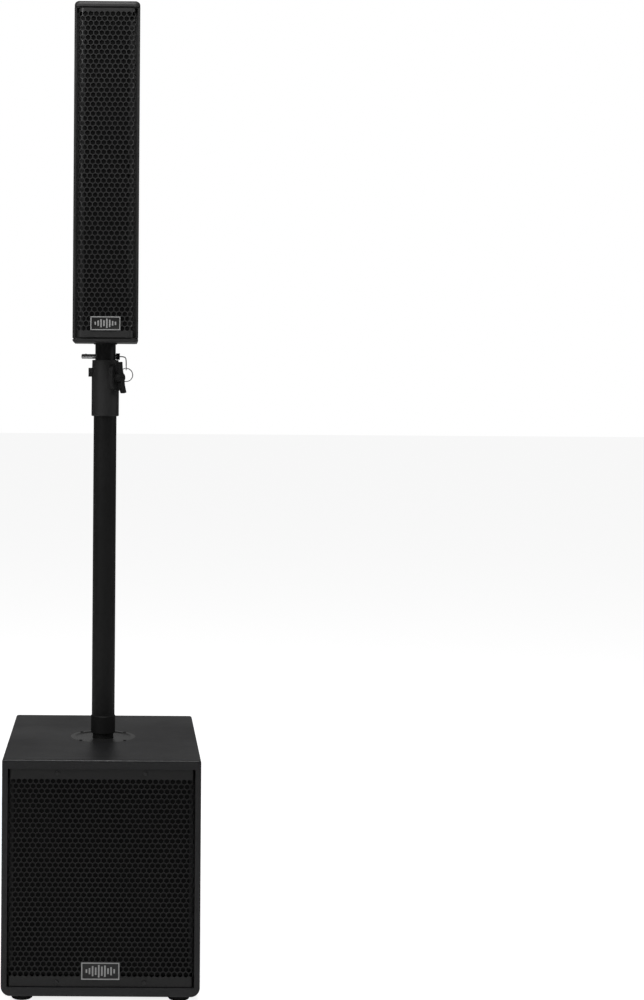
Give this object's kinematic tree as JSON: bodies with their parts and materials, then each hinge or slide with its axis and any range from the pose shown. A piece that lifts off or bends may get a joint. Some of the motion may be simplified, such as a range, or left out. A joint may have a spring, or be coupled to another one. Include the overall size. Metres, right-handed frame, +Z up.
{
  "type": "column pa system",
  "caption": "Powered subwoofer cabinet with a telescopic pole in its top socket, and a slim full-range column speaker standing on the pole behind a hexagonal-mesh grille.",
  "frame": {"origin": "on the floor, under the middle of the cabinet and the pole's axis", "axes": "+Z up along the pole, -Y towards the listener (both grilles face -Y), +X to the listener's right when facing the grilles"},
  "size_m": [0.318, 0.4, 1.629],
  "materials": {
    "textured_paint": "textured black paint on birch plywood",
    "column_paint": "textured black paint on an aluminium extrusion",
    "grille_steel": "satin black powder coat on perforated steel",
    "foam": "open-cell acoustic foam",
    "black_screw": "blackened steel",
    "badge_face": "black name-plate blank with pale print",
    "socket_metal": "satin black pressed steel",
    "rubber": "moulded rubber",
    "cast_black": "black painted cast frame",
    "paper_cone": "coated black paper cone",
    "ferrite": "ferrite and plated steel",
    "tube_paint": "satin black powder coat on steel tube",
    "moulded_black": "fine-grained black moulding",
    "knob_plastic": "smooth black moulding",
    "bush_nylon": "black nylon",
    "bright_steel": "polished steel",
    "panel_paint": "black powder-coated steel panel",
    "anodised": "black anodised extrusion",
    "board_green": "glass-fibre circuit board",
    "led_lens": "tinted lens"
  },
  "bodies": {
    "cabinet": {"sub_top_panel": "textured_paint", "sub_bottom_panel": "textured_paint", "sub_left_panel": "textured_paint", "sub_right_panel": "textured_paint", "sub_rear_panel": "textured_paint", "sub_front_baffle": "textured_paint", "sub_port_tubes": "moulded_black", "sub_grille": "grille_steel", "sub_grille_foam": "foam", "sub_grille_screws": "black_screw", "sub_badge": "badge_face", "woofer_basket": "cast_black", "woofer_surround": "rubber", "woofer_magnet": "ferrite", "woofer_screws": "black_screw", "pole_socket": "socket_metal", "cabinet_screws": "black_screw", "sub_feet": "rubber", "left_handle": "moulded_black", "right_handle": "moulded_black", "amp_plate": "panel_paint", "amp_plate_screws": "black_screw", "amp_heatsink": "anodised", "amp_circuit_board": "board_green", "combo_inputs": "moulded_black", "speaker_outputs": "moulded_black", "mains_module": "moulded_black", "status_leds": "led_lens"},
    "woofer_cone": {"woofer_cone": "paper_cone"},
    "power_rocker": {"power_rocker": "knob_plastic"},
    "phase_button": {"phase_button": "knob_plastic"},
    "sub_level_knob": {"sub_level_knob": "knob_plastic"},
    "column_level_knob": {"column_level_knob": "knob_plastic"},
    "pole": {"pole_spigot": "bush_nylon", "pole_tube": "tube_paint", "pole_ferrule": "moulded_black", "collar_bush": "bush_nylon", "collar_sleeve": "moulded_black", "collar_cap": "moulded_black"},
    "clamp_pad": {"clamp_pad": "bush_nylon"},
    "clamp_knob": {"clamp_knob": "knob_plastic"},
    "mast": {"mast_tube": "tube_paint"},
    "safety_pin": {"safety_pin": "bright_steel", "pin_head": "knob_plastic"},
    "pull_ring": {"pull_ring": "bright_steel"},
    "column": {"column_shell": "column_paint", "column_top_cap": "moulded_black", "column_bottom_cap": "moulded_black", "column_cup": "socket_metal", "column_baffle": "moulded_black", "column_grille": "grille_steel", "column_foam": "foam", "column_badge": "badge_face", "column_baskets": "cast_black", "column_horn": "moulded_black", "column_tweeter": "ferrite", "column_plate": "panel_paint", "column_sockets": "moulded_black"},
    "column_cones": {"column_cones": "paper_cone"}
  },
  "joints": [
    {"name": "pole_lift", "type": "slide", "parent": "cabinet", "child": "pole", "axis": [0, 0, 1], "range_m": [0, 0.09]},
    {"name": "height_slide", "type": "slide", "parent": "pole", "child": "mast", "axis": [0, 0, 1], "range_m": [0, 0.35]},
    {"name": "column_swivel", "type": "hinge", "parent": "mast", "child": "column", "pos_m": [0, 0, 1.058], "axis": [0, 0, 1], "continuous": true},
    {"name": "clamp_knob_turn", "type": "hinge", "parent": "pole", "child": "clamp_knob", "pos_m": [0, 0, 0.999], "axis": [0.7071, -0.7071, 0], "range_deg": [0, 360]},
    {"name": "clamp_pad_slide", "type": "slide", "parent": "pole", "child": "clamp_pad", "axis": [0.7071, -0.7071, 0], "range_m": [0, 0.0013]},
    {"name": "safety_pin_pull", "type": "slide", "parent": "mast", "child": "safety_pin", "axis": [1, 0, 0], "range_m": [0, 0.07]},
    {"name": "pull_ring_swing", "type": "hinge", "parent": "safety_pin", "child": "pull_ring", "pos_m": [0.0354, 0, 1.015], "axis": [1, 0, 0], "range_deg": [-10, 100]},
    {"name": "woofer_cone_stroke", "type": "slide", "parent": "cabinet", "child": "woofer_cone", "axis": [0, -1, 0], "range_m": [-0.004, 0.004], "stiffness_N_per_m": 2500},
    {"name": "column_cone_stroke", "type": "slide", "parent": "column", "child": "column_cones", "axis": [0, -1, 0], "range_m": [-0.002, 0.002], "stiffness_N_per_m": 3000},
    {"name": "power_switch", "type": "hinge", "parent": "cabinet", "child": "power_rocker", "pos_m": [0.084, 0.187, 0.086], "axis": [1, 0, 0], "range_deg": [0, 8]},
    {"name": "phase_push", "type": "slide", "parent": "cabinet", "child": "phase_button", "axis": [0, -1, 0], "range_m": [0, 0.0025], "stiffness_N_per_m": 400},
    {"name": "sub_level_turn", "type": "hinge", "parent": "cabinet", "child": "sub_level_knob", "pos_m": [0.084, 0.193, 0.311], "axis": [0, 1, 0], "range_deg": [-150, 150]},
    {"name": "column_level_turn", "type": "hinge", "parent": "cabinet", "child": "column_level_knob", "pos_m": [0.028, 0.193, 0.311], "axis": [0, 1, 0], "range_deg": [-150, 150]}
  ],
  "couplings": [
    {"joint": "clamp_pad_slide", "follows": "clamp_knob_turn", "m_per_rad": 0.000199}
  ]
}
